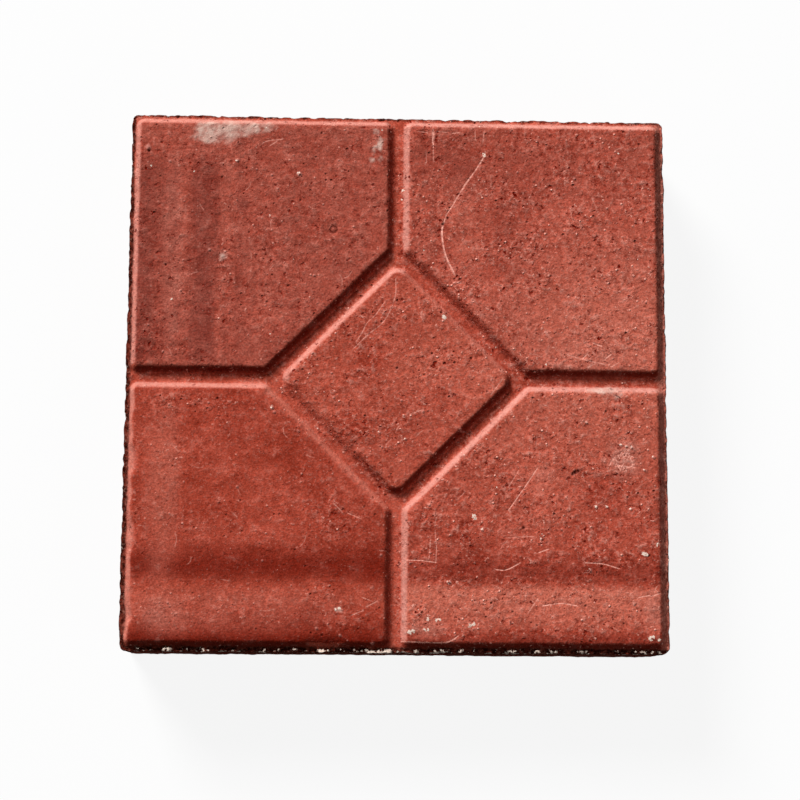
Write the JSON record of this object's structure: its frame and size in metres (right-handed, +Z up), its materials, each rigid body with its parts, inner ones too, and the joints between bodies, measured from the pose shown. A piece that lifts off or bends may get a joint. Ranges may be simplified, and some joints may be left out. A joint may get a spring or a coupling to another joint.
{
  "type": "paving stone",
  "caption": "Square concrete paving stone: a raised diamond and bevelled corner pads, parted by grooves, on one solid slab that is laid flat as a walking surface.",
  "frame": {"origin": "centre of the flat base that the stone rests on", "axes": "+Z up through the thickness, from the base to the patterned face; X and Y along the sides of the square"},
  "size_m": [0.25, 0.25, 0.05],
  "materials": {
    "red_concrete": "matte"
  },
  "bodies": {
    "root": {"paving_stone": "red_concrete"}
  },
  "joints": []
}
